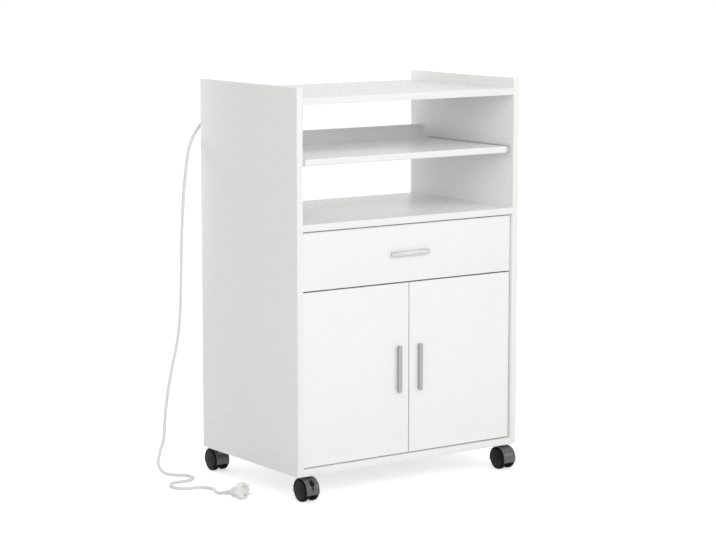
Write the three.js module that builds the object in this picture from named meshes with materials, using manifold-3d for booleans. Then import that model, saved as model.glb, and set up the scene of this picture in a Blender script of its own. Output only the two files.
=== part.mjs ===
// Microwave cart: a white board cabinet on four twin-wheel casters, with two inset doors, a drawer,
// a pull-out shelf, an open compartment above it and a three-way socket strip on its own lead.
// Millimetres. +X points to the right of someone who faces the front, +Y from the front to the back
// and +Z up. The origin is on the floor, under the middle of the cart.
import * as THREE from 'three';
import { mergeVertices } from 'three/addons/utils/BufferGeometryUtils.js';
import Module from 'manifold-3d';

const wasm = await Module();
wasm.setup();

// ---------------------------------------------------------------- driving dimensions

// Carcass
const width = 600;
const depth = 387;
const bodyHeight = 836;
const boardThickness = 15;
const sideRise = 22; // the sides stand this far above the top
const upperOpening = 115.5; // from the top down to the pull-out shelf
const middleOpening = 123.5; // from the pull-out shelf down to the fixed shelf
const backThickness = 3;
const backInset = 9; // from the rear edges to the back
const grooveDepth = 7.5;
const grooveGap = 0.3;
const railHeight = 60;
const railRise = 27.5; // of the rail above the pull-out shelf
const railInset = 25; // from the rear edges to the rail

// Doors and drawer front, set in between the sides
const frontInset = 7;
const frontThickness = 15;
const doorSideGap = 3;
const doorMiddleGap = 2.5;
const doorBottomGap = 2.5;
const doorTopGap = 3;
const drawerSideGap = 2;
const drawerTopGap = 3;
const drawerFrontHeight = 126;

// Handles: a flat bar on two feet
const handleLength = 104;
const handleWidth = 10;
const handleBar = 4;
const handleReach = 9; // from the front to the face of the bar
const footSpacing = 96;
const footRadius = 3;
const doorHandleInset = 27; // from the door's free edge to the handle

// Concealed hinges
const hingeInset = 90; // from the door's ends
const cupRadius = 17.5;
const cupDepth = 12.5;
const cupWall = 0.8;
const cupEdge = 5; // wood between the cup and the door's edge
const flangeThickness = 1.2;
const flangeLength = 52;
const flangeWidth = 22;
const pinRadius = 1.5;
const pinOffset = 12; // from the cup's centre towards the door's edge
const pinDepth = 8; // below the door's inner face
const knuckleRadius = 3;
const knuckleGap = 0.35;
const armThickness = 2.5;
const armHeight = 12;
const armReach = 13.5; // from the pin, into the cup
const armRise = 18; // out of the cup
const armRun = 34; // from the pin to the mounting block
const blockLength = 50;
const blockThickness = 6.5;
const blockHeight = 16;
const seatGap = 0.3; // between a turned piece and its seat

// Runners
const runnerGap = 13; // between a side and what slides along it
const runnerSheet = 1.2;
const runnerFlange = 10;
const runnerPlay = 0.3;
const shelfRunnerHeight = 17;
const shelfRunnerFront = 5; // from the pull-out shelf's front edge back to its runners
const shelfRunnerRear = 8; // from the runners back to the shelf's rear edge
const drawerRunnerHeight = 35;

// Pull-out shelf
const pullShelfRearGap = 30; // from the shelf to the rail
const pullShelfInset = 10; // behind the front edges
const pullShelfRound = 3;

// Drawer box
const drawerBoard = 12;
const drawerRearGap = 3; // from the drawer to the back
const drawerBoxHeight = 90;
const drawerBoxRise = 14; // from the front's lower edge to the box
const drawerBottomThickness = 3;
const drawerBottomRise = 6; // from the box's lower edge
const drawerGroove = 5;

// Socket strip, on the left side under the top
const stripHeight = 44;
const stripLength = 270;
const stripBase = 12;
const stripCover = 26;
const stripCorner = 9;
const stripFront = 53; // from the front edges
const stripDrop = 2; // under the top
const socketCount = 3;
const socketPitch = 84;
const socketRadius = 19.75;
const socketDepth = 17.5;
const contactRadius = 2.75;
const contactSpacing = 19;
const glandLength = 22;
const glandRadius = 6;

// Casters
const casterHeight = 56;
const wheelRadius = 25;
const wheelWidth = 11.5;
const casterWidth = 36;
const casterOffset = 16; // from the swivel's axis to the axle
const casterInset = 29; // from the sides to the swivel's axis
const casterEndInset = 27; // from the front and rear edges to the swivel's axis
const plateSize = 40;
const plateThickness = 2;
const plateCorner = 5;
const studRadius = 4;
const studLength = 13;
const studGap = 0.3;
const hoodShell = 1.5;
const hoodGap = 0.8;
const hoodDrop = 8; // below the axle
const hoodMargin = 1.5; // of each wheel left bare outside the hood
const bossRadius = 11;
const bossGap = 0.4;
const axleRadius = 3;
const axleGap = 0.3;
const wheelEdge = 2;

// Brake lever, on two of the casters
const brakeAngle = 40; // degrees above the axle
const brakeSpan = 22; // degrees
const brakePlay = 6; // degrees on each side, for the lever to rock in
const brakePivotRadius = 19.5;
const brakePinRadius = 1.2;
const brakeHalfWidth = 3.6;
const brakeHeadHalfWidth = 5;
const brakeSideGap = 0.4;
const brakeProud = 0.9; // of the lever above the hood
const brakeSlotAngle = 13; // degrees above the axle
const brakeSlotHeight = 7;
const brakeSlotWidth = 4.5;

// Lead and plug
const cordRadius = 3.5;
const cordSides = 10;
const cordSteps = 80;
const cordGap = 0.3;
const reliefLength = 26;
const plugRadius = 18.5;
const plugLength = 34;
const plugDisc = 13;
const plugGripRadius = 11.5;
const plugWaistRadius = 9;
const prongRadius = 2.4;
const prongLength = 19;
const plugX = -92; // where the strain relief starts
const plugY = 153;
const plugTurn = -75; // degrees, from +X to the prongs' direction
const plugLean = 13; // degrees, from the grip up to the disc

// ---------------------------------------------------------------- places that follow from them

const left = 0;
const right = width;
const innerLeft = boardThickness;
const innerRight = width - boardThickness;
const topHigh = bodyHeight - sideRise;
const topLow = topHigh - boardThickness;
const pullShelfTop = topLow - upperOpening;
const railTop = pullShelfTop + railRise;
const railRear = depth - railInset;
const railFront = railRear - boardThickness;
const pullShelfRear = railFront - pullShelfRearGap;
const shelfRunnerLength = pullShelfRear - shelfRunnerRear - pullShelfInset - shelfRunnerFront;
const fixedShelfTop = pullShelfTop - boardThickness - middleOpening;
const fixedShelfLow = fixedShelfTop - boardThickness;
const backRear = depth - backInset;
const backFront = backRear - backThickness;
const frontFace = frontInset;
const frontBack = frontInset + frontThickness;
const drawerHigh = fixedShelfLow - drawerTopGap;
const drawerLow = drawerHigh - drawerFrontHeight;
const drawerRear = backFront - drawerRearGap;
const doorHigh = drawerLow - doorTopGap;
const doorLow = boardThickness + doorBottomGap;
const middle = width / 2;
const floor = -casterHeight;

// ---------------------------------------------------------------- finishes

const finish = (color, roughness, metalness = 0) => () =>
  new THREE.MeshStandardMaterial({ color, roughness, metalness });
const whiteBoard = finish(0xf2f2f1, 0.45);
const whiteHardboard = finish(0xececea, 0.6);
const satinMetal = finish(0xb9babb, 0.35, 1);
const zincSteel = finish(0x8f9391, 0.4, 1);
const blackPlastic = finish(0x1b1b1c, 0.5);
const blackTread = finish(0x2a2a2b, 0.7);
const whitePlastic = finish(0xe9e9e7, 0.5);
const brass = finish(0xc3b27a, 0.3, 1);

// ---------------------------------------------------------------- modelling helpers

const axisX = new THREE.Vector3(1, 0, 0);
const axisY = new THREE.Vector3(0, 1, 0);
const axisZ = new THREE.Vector3(0, 0, 1);
const degrees = THREE.MathUtils.degToRad;

function toSolid(geometry) {
  const bare = geometry.clone();
  bare.deleteAttribute('normal');
  bare.deleteAttribute('uv');
  const merged = mergeVertices(bare, 1e-4);
  const corners = [];
  const index = merged.index.array;
  for (let i = 0; i < index.length; i += 3) {
    const [a, b, c] = [index[i], index[i + 1], index[i + 2]];
    if (a !== b && b !== c && c !== a) corners.push(a, b, c);
  }
  return new wasm.Manifold(
    new wasm.Mesh({
      numProp: 3,
      vertProperties: new Float32Array(merged.attributes.position.array),
      triVerts: new Uint32Array(corners),
    })
  );
}

function toGeometry(solid) {
  const mesh = solid.getMesh();
  const geometry = new THREE.BufferGeometry();
  geometry.setAttribute('position', new THREE.BufferAttribute(mesh.vertProperties, 3));
  geometry.setIndex(new THREE.BufferAttribute(mesh.triVerts, 1));
  geometry.computeVertexNormals();
  return geometry;
}

function cut(geometry, ...tools) {
  let solid = toSolid(geometry);
  for (const tool of tools) solid = solid.subtract(toSolid(tool));
  return toGeometry(solid);
}

function join(geometry, ...others) {
  let solid = toSolid(geometry);
  for (const other of others) solid = solid.add(toSolid(other));
  return toGeometry(solid);
}

// A box between exact limits, so that two faces at one place share the same numbers.
function block(x0, x1, y0, y1, z0, z1) {
  const geometry = new THREE.BoxGeometry(1, 1, 1);
  const position = geometry.attributes.position;
  for (let i = 0; i < position.count; i += 1) {
    const x = position.getX(i) < 0 ? x0 : x1;
    const y = position.getY(i) < 0 ? y0 : y1;
    const z = position.getZ(i) < 0 ? z0 : z1;
    position.setXYZ(i, x, y, z);
  }
  return geometry;
}

function moved(geometry, x, y, z) {
  return geometry.clone().translate(x, y, z);
}

function extrude(shape, length, curveSegments = 4) {
  return new THREE.ExtrudeGeometry(shape, { depth: length, bevelEnabled: false, curveSegments });
}

// A shape drawn in Y and Z, drawn out along X on both sides of x = 0.
function prismAlongX(shape, length, curveSegments) {
  const geometry = extrude(shape, length, curveSegments).translate(0, 0, -length / 2);
  return geometry.applyMatrix4(new THREE.Matrix4().makeBasis(axisY, axisZ, axisX));
}

// A shape drawn in X and Z, drawn out along Y from y = 0.
function prismAlongY(shape, length) {
  const basis = new THREE.Matrix4().makeBasis(axisX, axisZ, axisY.clone().negate());
  return extrude(shape, length).applyMatrix4(basis).translate(0, length, 0);
}

// A shape drawn in X and Y, drawn out along Z on both sides of z = 0.
function prismAlongZ(shape, length, curveSegments) {
  return extrude(shape, length, curveSegments).translate(0, 0, -length / 2);
}

function outline(points) {
  return new THREE.Shape(points.map(([x, y]) => new THREE.Vector2(x, y)));
}

function roundedRectangle(sizeX, sizeY, radius) {
  const [x, y] = [sizeX / 2, sizeY / 2];
  const shape = new THREE.Shape();
  shape.moveTo(-x + radius, -y);
  shape.lineTo(x - radius, -y);
  shape.absarc(x - radius, -y + radius, radius, -Math.PI / 2, 0);
  shape.lineTo(x, y - radius);
  shape.absarc(x - radius, y - radius, radius, 0, Math.PI / 2);
  shape.lineTo(-x + radius, y);
  shape.absarc(-x + radius, y - radius, radius, Math.PI / 2, Math.PI);
  shape.lineTo(-x, -y + radius);
  shape.absarc(-x + radius, -y + radius, radius, Math.PI, Math.PI * 1.5);
  return shape;
}

// A turned solid about the X axis. The profile is a list of [x, radius], from low to high x.
function turned(profile, segments = 24) {
  const points = profile.map(([x, radius]) => new THREE.Vector2(radius, x));
  const geometry = new THREE.LatheGeometry(points, segments);
  return geometry.applyMatrix4(new THREE.Matrix4().makeBasis(axisZ, axisX, axisY));
}

function rod(x0, x1, radius, segments) {
  return turned([[x0, 0], [x0, radius], [x1, radius], [x1, 0]], segments);
}

// The same about the Y and Z axes.
function rodAlongY(y0, y1, radius, segments) {
  return rod(y0, y1, radius, segments).applyMatrix4(
    new THREE.Matrix4().makeBasis(axisY, axisZ, axisX)
  );
}

function rodAlongZ(z0, z1, radius, segments) {
  return rod(z0, z1, radius, segments).applyMatrix4(
    new THREE.Matrix4().makeBasis(axisZ, axisX, axisY)
  );
}

const cart = new THREE.Group();
cart.position.set(-width / 2, -depth / 2, casterHeight);

function group(parent, x, y, z) {
  const made = new THREE.Group();
  made.position.set(x, y, z);
  parent.add(made);
  return made;
}

function add(name, geometry, material, parent = cart) {
  const mesh = new THREE.Mesh(geometry, material());
  mesh.name = name;
  parent.add(mesh);
  return mesh;
}

// ---------------------------------------------------------------- carcass

function backBoard(gap) {
  return block(
    innerLeft - grooveDepth - gap,
    innerRight + grooveDepth + gap,
    backFront - gap,
    backRear + gap,
    boardThickness - grooveDepth - gap,
    fixedShelfLow + grooveDepth + gap
  );
}

function addCarcass() {
  const groove = backBoard(grooveGap);
  const leftSide = block(left, innerLeft, 0, depth, 0, bodyHeight);
  const rightSide = block(innerRight, right, 0, depth, 0, bodyHeight);
  const fixedShelf = block(innerLeft, innerRight, 0, depth, fixedShelfLow, fixedShelfTop);
  const bottom = block(innerLeft, innerRight, 0, depth, 0, boardThickness);
  add('left_side_panel', cut(leftSide, groove), whiteBoard);
  add('right_side_panel', cut(rightSide, groove), whiteBoard);
  add('top_panel', block(innerLeft, innerRight, 0, depth, topLow, topHigh), whiteBoard);
  add('fixed_shelf', cut(fixedShelf, groove), whiteBoard);
  add('bottom_panel', cut(bottom, groove), whiteBoard);
  add('back_panel', backBoard(0), whiteHardboard);
  add(
    'back_rail',
    block(innerLeft, innerRight, railFront, railRear, railTop - railHeight, railTop),
    whiteBoard
  );
}

// ---------------------------------------------------------------- runners

// The member on the cart's side: a channel open towards what slides. x = 0 is the side's face.
function outerMember(height, length) {
  const [h, s] = [height / 2, runnerSheet];
  const shape = outline([
    [0, -h], [runnerFlange, -h], [runnerFlange, -h + s], [s, -h + s],
    [s, h - s], [runnerFlange, h - s], [runnerFlange, h], [0, h],
  ]);
  return prismAlongY(shape, length);
}

// The member on the shelf or drawer: a smaller channel that slides inside the first.
function innerMember(height, length) {
  const h = height / 2 - runnerSheet - runnerPlay;
  const web = runnerGap - runnerSheet;
  const tip = runnerGap - runnerFlange;
  const shape = outline([
    [runnerGap, -h], [runnerGap, h], [tip, h], [tip, h - runnerSheet],
    [web, h - runnerSheet], [web, -h + runnerSheet], [tip, -h + runnerSheet], [tip, -h],
  ]);
  return prismAlongY(shape, length);
}

function addRunners(name, height, length, y, z) {
  for (const [side, x, turn] of [['left', innerLeft, 0], ['right', innerRight, Math.PI]]) {
    const place = group(cart, x, y, z);
    place.rotation.y = turn;
    add(`${name}_runner_${side}`, outerMember(height, length), zincSteel, place);
    add(`${name}_slide_${side}`, innerMember(height, length), zincSteel, place);
  }
}

// ---------------------------------------------------------------- pull-out shelf

function addPullOutShelf() {
  const [round, low] = [pullShelfRound, pullShelfTop - boardThickness];
  const shape = new THREE.Shape();
  shape.moveTo(pullShelfInset + round, low);
  shape.lineTo(pullShelfRear, low);
  shape.lineTo(pullShelfRear, pullShelfTop);
  shape.lineTo(pullShelfInset + round, pullShelfTop);
  shape.absarc(pullShelfInset + round, pullShelfTop - round, round, Math.PI / 2, Math.PI);
  shape.lineTo(pullShelfInset, low + round);
  shape.absarc(pullShelfInset + round, low + round, round, Math.PI, Math.PI * 1.5);
  const length = innerRight - innerLeft - 2 * runnerGap;
  const shelf = prismAlongX(shape, length, 4).translate(middle, 0, 0);
  add('pull_out_shelf', shelf, whiteBoard);
  const runnerStart = pullShelfInset + shelfRunnerFront;
  const runnerMiddle = low + boardThickness / 2;
  addRunners('shelf', shelfRunnerHeight, shelfRunnerLength, runnerStart, runnerMiddle);
}

// ---------------------------------------------------------------- handles

// A bar along X on two feet. The face that it is screwed to is y = 0, and the bar is towards -Y.
function handle() {
  const barBack = handleBar - handleReach;
  const bar = block(
    -handleLength / 2, handleLength / 2, -handleReach, barBack, -handleWidth / 2, handleWidth / 2
  );
  const feet = [-footSpacing / 2, footSpacing / 2].map((x) =>
    moved(rodAlongY(barBack - handleBar / 2, 0, footRadius, 16), x, 0, 0)
  );
  return join(bar, ...feet);
}

// ---------------------------------------------------------------- drawer

function addDrawer() {
  const sideLeft = innerLeft + runnerGap;
  const sideRight = innerRight - runnerGap;
  const insideLeft = sideLeft + drawerBoard;
  const insideRight = sideRight - drawerBoard;
  const rear = drawerRear;
  const low = drawerLow + drawerBoxRise;
  const high = low + drawerBoxHeight;
  const bottomLow = low + drawerBottomRise;
  const bottom = (gap) =>
    block(
      insideLeft - drawerGroove - gap,
      insideRight + drawerGroove + gap,
      frontBack - drawerGroove - gap,
      rear - drawerBoard + drawerGroove + gap,
      bottomLow - gap,
      bottomLow + drawerBottomThickness + gap
    );
  const groove = bottom(grooveGap);
  const front = block(
    innerLeft + drawerSideGap, innerRight - drawerSideGap, frontFace, frontBack, drawerLow, drawerHigh
  );
  const leftBoard = block(sideLeft, insideLeft, frontBack, rear, low, high);
  const rightBoard = block(insideRight, sideRight, frontBack, rear, low, high);
  const backPiece = block(insideLeft, insideRight, rear - drawerBoard, rear, low, high);
  add('drawer_front', cut(front, groove), whiteBoard);
  add('drawer_side_left', cut(leftBoard, groove), whiteBoard);
  add('drawer_side_right', cut(rightBoard, groove), whiteBoard);
  add('drawer_back', cut(backPiece, groove), whiteBoard);
  add('drawer_bottom', bottom(0), whiteHardboard);
  const place = group(cart, middle, frontFace, (drawerLow + drawerHigh) / 2);
  add('drawer_handle', handle(), satinMetal, place);
  const runnerStart = frontBack;
  const runnerMiddle = (low + high) / 2;
  addRunners('drawer', drawerRunnerHeight, rear - frontBack, runnerStart, runnerMiddle);
}

// ---------------------------------------------------------------- doors and hinges

// In a hinge's own frame the pin stands along Z at the origin, and the door's inner face is at
// y = pinDepth. The door's edge and the cart's side are towards -X.
const doorEdge = -(cupEdge + cupRadius - pinOffset);
const sideFace = doorEdge - doorSideGap;
const cupBottom = pinDepth - cupDepth;

function cupPocket() {
  const pocket = rodAlongY(cupBottom - seatGap, pinDepth + 1, cupRadius + seatGap, 24);
  return moved(pocket, pinOffset, 0, 0);
}

function hingeCup() {
  const inner = cupRadius - cupWall;
  const flange = prismAlongY(roundedRectangle(flangeWidth, flangeLength, 6), flangeThickness);
  const shell = cut(
    join(
      rodAlongY(cupBottom, pinDepth, cupRadius, 24),
      moved(flange, 0, pinDepth, 0),
      rodAlongY(pinDepth, pinDepth + flangeThickness, cupRadius, 24)
    ),
    rodAlongY(cupBottom + cupWall, pinDepth + flangeThickness + 1, inner, 24)
  );
  const halfPin = Math.sqrt((cupRadius - cupWall / 2) ** 2 - (pinOffset + pinRadius) ** 2);
  return join(moved(shell, pinOffset, 0, 0), rodAlongZ(-halfPin, halfPin, pinRadius, 12));
}

// A flat strip of the arm between two points of its side view.
function strip([x0, y0], [x1, y1]) {
  const length = Math.hypot(x1 - x0, y1 - y0);
  const t = armThickness / 2;
  const bar = prismAlongZ(outline([[0, -t], [length, -t], [length, t], [0, t]]), armHeight);
  return bar.rotateZ(Math.atan2(y1 - y0, x1 - x0)).translate(x0, y0, 0);
}

function hingeArm() {
  const blockFace = sideFace + blockThickness;
  const bends = [[0, 0], [armReach, 0], [armReach, armRise], [blockFace - 1, armRun + 1]];
  const strips = bends.slice(1).map((end, i) => strip(bends[i], end));
  const corners = bends
    .slice(1)
    .map(([x, y]) => moved(rodAlongZ(-armHeight / 2, armHeight / 2, armThickness / 2, 8), x, y, 0));
  const knuckle = rodAlongZ(-armHeight / 2, armHeight / 2, knuckleRadius, 16);
  const base = block(
    sideFace, blockFace, armRun, armRun + blockLength, -blockHeight / 2, blockHeight / 2
  );
  const bore = rodAlongZ(-armHeight, armHeight, pinRadius + knuckleGap, 16);
  return cut(join(base, ...strips, ...corners, knuckle), bore);
}

function addDoors() {
  const doorInnerEdge = middle - doorMiddleGap / 2;
  const doorOuterEdge = innerLeft + doorSideGap;
  const pinX = doorOuterEdge - doorEdge;
  const pinY = frontBack - pinDepth;
  const levels = [['lower', doorLow + hingeInset], ['upper', doorHigh - hingeInset]];
  for (const [side, turn] of [['left', 0], ['right', Math.PI]]) {
    const half = group(cart, turn ? width : 0, 0, 0);
    half.rotation.y = turn;
    const along = (z) => (turn ? -z : z);
    const pockets = levels.map(([, z]) => moved(cupPocket(), pinX, pinY, along(z)));
    const [low, high] = [along(doorLow), along(doorHigh)].sort((a, b) => a - b);
    const board = block(doorOuterEdge, doorInnerEdge, frontFace, frontBack, low, high);
    add(`${side}_door`, cut(board, ...pockets), whiteBoard, half);
    for (const [level, z] of levels) {
      const place = group(half, pinX, pinY, along(z));
      add(`${side}_hinge_cup_${level}`, hingeCup(), zincSteel, place);
      add(`${side}_hinge_arm_${level}`, hingeArm(), zincSteel, place);
    }
    const handleX = doorInnerEdge - doorHandleInset;
    const grip = group(half, handleX, frontFace, along((doorLow + doorHigh) / 2));
    grip.rotation.y = Math.PI / 2;
    add(`${side}_door_handle`, handle(), satinMetal, grip);
  }
}

// ---------------------------------------------------------------- socket strip

function addSocketStrip() {
  const rear = stripFront + stripLength;
  const centreY = (stripFront + rear) / 2;
  const centreZ = topLow - stripDrop - stripHeight / 2;
  const place = group(cart, innerLeft, centreY, centreZ);
  const plan = roundedRectangle(stripLength, stripHeight, stripCorner);
  const base = prismAlongX(plan, stripBase, 3).translate(stripBase / 2, 0, 0);
  const cover = prismAlongX(plan, stripCover, 3).translate(stripBase + stripCover / 2, 0, 0);
  const face = stripBase + stripCover;
  const holes = [];
  for (let i = 0; i < socketCount; i += 1) {
    const y = (i - (socketCount - 1) / 2) * socketPitch;
    holes.push(moved(rod(face - socketDepth, face + 1, socketRadius, 24), 0, y, 0));
    for (const z of [-contactSpacing / 2, contactSpacing / 2]) {
      holes.push(moved(rod(stripBase - 1, face, contactRadius, 12), 0, y, z));
    }
  }
  add('socket_strip_base', base, whitePlastic, place);
  add('socket_strip_cover', cut(cover, ...holes), whitePlastic, place);
  const gland = turned(
    [
      [0, 0],
      [0, glandRadius],
      [glandLength * 0.3, glandRadius],
      [glandLength, cordRadius + 0.8],
      [glandLength, 0],
    ],
    20
  ).applyMatrix4(new THREE.Matrix4().makeBasis(axisY, axisZ, axisX));
  const exit = group(cart, innerLeft + face / 2, rear, centreZ);
  add('socket_strip_gland', gland, whitePlastic, exit);
  return new THREE.Vector3(innerLeft + face / 2, rear + glandLength, centreZ);
}

// ---------------------------------------------------------------- casters

// In a caster's own frame the swivel's axis is Z, the top of its plate is z = 0 and the axle runs
// along X, in front of the swivel.
const axleY = -casterOffset;
const axleZ = wheelRadius - casterHeight;
const hoodRadius = wheelRadius + hoodGap + hoodShell;
const wheelSpace = wheelRadius + hoodGap;
const webHalf = casterWidth / 2 - wheelWidth - seatGap;

function atAxle(geometry) {
  return moved(geometry, 0, axleY, axleZ);
}

// A piece of a ring about the axle, between two radii and two angles above the axle's front.
function ringPiece(innerRadius, outerRadius, fromAngle, toAngle, length) {
  const [a0, a1] = [degrees(180 - fromAngle), degrees(180 - toAngle)];
  const shape = new THREE.Shape();
  shape.absarc(0, 0, outerRadius, a1, a0, false);
  shape.absarc(0, 0, innerRadius, a0, a1, true);
  return atAxle(prismAlongX(shape, length, 3));
}

function brakePivot() {
  const angle = degrees(180 - brakeAngle);
  const [y, z] = [Math.cos(angle) * brakePivotRadius, Math.sin(angle) * brakePivotRadius];
  return [axleY + y, axleZ + z];
}

function casterPlate() {
  const sheet = prismAlongZ(roundedRectangle(plateSize, plateSize, plateCorner), plateThickness, 4);
  const stud = rodAlongZ(-plateThickness - studLength, -plateThickness / 2, studRadius, 20);
  return join(sheet.translate(0, 0, -plateThickness / 2), stud);
}

function casterHood(braked) {
  const start = Math.PI + Math.asin(hoodDrop / hoodRadius);
  const shape = new THREE.Shape();
  shape.absarc(0, 0, hoodRadius, -start + Math.PI, start, false);
  const body = atAxle(prismAlongX(shape, casterWidth - 2 * hoodMargin, 14));
  const bossTop = -plateThickness - bossGap;
  const boss = rodAlongZ(axleZ + wheelRadius * 0.6, bossTop, bossRadius, 24);
  const spaces = [-1, 1].map((side) => {
    const [near, far] = [webHalf, casterWidth / 2 + 1].map((x) => x * side).sort((a, b) => a - b);
    return atAxle(rod(near, far, wheelSpace, 28));
  });
  const bore = rodAlongZ(-plateThickness - studLength - 1, 0, studRadius + studGap, 20);
  const tools = [...spaces, bore];
  if (braked) {
    const play = brakeSpan / 2 + brakePlay;
    const [low, high] = [brakeAngle - play, brakeAngle + play];
    const pocketHalf = brakeHalfWidth + brakeSideGap;
    const headHalf = brakeHeadHalfWidth + brakeSideGap;
    const [pivotY, pivotZ] = brakePivot();
    const slotHalf = Math.asin(brakeSlotHeight / 2 / hoodRadius) * THREE.MathUtils.RAD2DEG;
    const slotInner = wheelRadius - 3;
    tools.push(ringPiece(14, hoodRadius + 1, low, high, 2 * pocketHalf));
    tools.push(ringPiece(wheelRadius - 1, hoodRadius + 1, low, high, 2 * headHalf));
    tools.push(
      ringPiece(
        slotInner, hoodRadius + 1, brakeSlotAngle - slotHalf, brakeSlotAngle + slotHalf, brakeSlotWidth
      )
    );
    const hole = rod(-webHalf - 1, webHalf + 1, brakePinRadius + axleGap, 12);
    tools.push(moved(hole, 0, pivotY, pivotZ));
  }
  const axle = atAxle(rod(-casterWidth / 2 + wheelEdge, casterWidth / 2 - wheelEdge, axleRadius, 16));
  return join(cut(join(body, boss), ...tools), axle);
}

function brakeLever() {
  const half = brakeSpan / 2;
  const [low, high] = [brakeAngle - half, brakeAngle + half];
  const [pivotY, pivotZ] = brakePivot();
  const stem = ringPiece(16.5, hoodRadius, low, high, 2 * brakeHalfWidth);
  const head = ringPiece(wheelSpace, hoodRadius + brakeProud, low, high, 2 * brakeHeadHalfWidth);
  const pinEnd = webHalf - seatGap;
  return join(stem, head, moved(rod(-pinEnd, pinEnd, brakePinRadius, 12), 0, pivotY, pivotZ));
}

function wheel() {
  const boreRadius = axleRadius + axleGap;
  const boreDepth = wheelWidth - wheelEdge + axleGap;
  return turned(
    [
      [0, boreRadius],
      [0, wheelRadius - wheelEdge],
      [wheelEdge * 0.6, wheelRadius],
      [wheelWidth - wheelEdge, wheelRadius],
      [wheelWidth - wheelEdge * 0.3, wheelRadius - wheelEdge * 0.7],
      [wheelWidth, wheelRadius - wheelEdge * 2],
      [wheelWidth, 0],
      [boreDepth, 0],
      [boreDepth, boreRadius],
      [0, boreRadius],
    ],
    28
  );
}

function addCaster(name, x, y, turn, braked) {
  const caster = group(cart, x, y, 0);
  caster.rotation.z = turn;
  add(`${name}_caster_plate`, casterPlate(), zincSteel, caster);
  add(`${name}_caster_hood`, casterHood(braked), blackPlastic, caster);
  if (braked) add(`${name}_brake_lever`, brakeLever(), blackPlastic, caster);
  for (const [side, flip] of [['right', 0], ['left', Math.PI]]) {
    const inner = casterWidth / 2 - wheelWidth;
    const place = group(caster, flip ? -inner : inner, axleY, axleZ);
    place.rotation.z = flip;
    add(`${name}_wheel_${side}`, wheel(), blackTread, place);
  }
}

function addCasters() {
  const [leftX, rightX] = [casterInset, width - casterInset];
  const [frontY, rearY] = [casterEndInset, depth - casterEndInset];
  addCaster('front_left', leftX, frontY, 0, true);
  addCaster('front_right', rightX, frontY, 0, false);
  addCaster('rear_left', leftX, rearY, Math.PI, false);
  addCaster('rear_right', rightX, rearY, Math.PI, true);
}

// ---------------------------------------------------------------- lead and plug

// The plug lies on the rim of its disc. In its own frame the prongs point along +X and the strain
// relief starts at x = 0.
const [lean, turn] = [degrees(plugLean), degrees(plugTurn)];
const plugAxis = new THREE.Vector3(
  Math.cos(lean) * Math.cos(turn),
  Math.cos(lean) * Math.sin(turn),
  Math.sin(lean),
);
const discRear = reliefLength + plugLength - plugDisc;
const rim = discRear + 2; // the widest place nearest to the floor
const plugStart = new THREE.Vector3(
  plugX,
  plugY,
  floor + plugRadius * Math.cos(lean) - rim * Math.sin(lean),
);

function addPlug() {
  const face = reliefLength + plugLength;
  const place = group(cart, ...plugStart);
  place.rotation.set(0, -lean, turn, 'ZYX');
  const relief = turned([
    [0, 0],
    [0, cordRadius + 0.8],
    [reliefLength - seatGap, plugWaistRadius - 2.5],
    [reliefLength - seatGap, 0],
  ], 20);
  const body = turned([
    [reliefLength, 0],
    [reliefLength, plugWaistRadius - 1.5],
    [reliefLength + 3, plugGripRadius],
    [reliefLength + 10, plugGripRadius],
    [discRear - 4, plugWaistRadius],
    [discRear, plugRadius - 2],
    [rim, plugRadius],
    [face - 1, plugRadius],
    [face, plugRadius - 1],
    [face, 0],
  ], 24);
  add('plug_strain_relief', relief, whitePlastic, place);
  add('plug_body', body, whitePlastic, place);
  for (const [level, side] of [['lower', -1], ['upper', 1]]) {
    const prong = turned([
      [face + seatGap, 0],
      [face + seatGap, prongRadius],
      [face + prongLength - 1.5, prongRadius],
      [face + prongLength, prongRadius - 1],
      [face + prongLength, 0],
    ], 16).translate(0, 0, (side * contactSpacing) / 2);
    add(`plug_prong_${level}`, prong, brass, place);
  }
}

// The lead leaves the strip's rear end, goes out through the open back, hangs down beside the left
// side, and lies on the floor in a flat zigzag that ends at the plug.
function addLead(exit) {
  const hanging = [
    [34, 360, 775], [33, 386, 769], [29, 408, 752], [18, 419, 729], [3, 420, 709], [-9, 419, 686],
    [-17, 418, 655], [-24, 417, 612], [-30, 416, 556], [-35, 416, 470], [-38, 416, 370],
    [-42, 416, 295], [-51, 416, 235], [-65, 416, 179], [-77, 416, 119], [-84, 416, 66],
    [-88, 416, 22], [-98, 417.5, -10], [-105, 410.5, -34.5], [-100.5, 392.5, -49.5],
  ];
  const lying = [
    [-86.5, 374], [-66.5, 352.5], [-65, 330], [-76.5, 312.5], [-93.5, 305.5], [-111, 307],
    [-131, 304.5], [-146, 290], [-150, 272], [-143.5, 254], [-129.5, 243], [-108.5, 239.5],
    [-97.5, 234], [-88, 220], [-86.5, 202.5], [-94, 185.5],
  ];
  const rest = floor + cordRadius + cordGap;
  const beforePlug = plugStart.clone().addScaledVector(plugAxis, -17);
  const route = new THREE.CatmullRomCurve3([
    new THREE.Vector3(exit.x, exit.y + cordGap, exit.z),
    ...hanging.map(([x, y, z]) => new THREE.Vector3(x, y, z)),
    ...lying.map(([x, y]) => new THREE.Vector3(x, y, rest)),
    beforePlug.setZ(Math.max(beforePlug.z, rest)),
    plugStart.clone().addScaledVector(plugAxis, -2 * cordGap),
  ]);
  const section = new THREE.Shape();
  section.absarc(0, 0, cordRadius, 0, 2 * Math.PI);
  const tube = new THREE.ExtrudeGeometry(section, {
    extrudePath: route,
    steps: cordSteps,
    curveSegments: cordSides / 2,
  });
  add('power_lead', tube, whitePlastic);
}

addCarcass();
addPullOutShelf();
addDrawer();
addDoors();
addCasters();
const leadExit = addSocketStrip();
addLead(leadExit);
addPlug();

export default cart;
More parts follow.
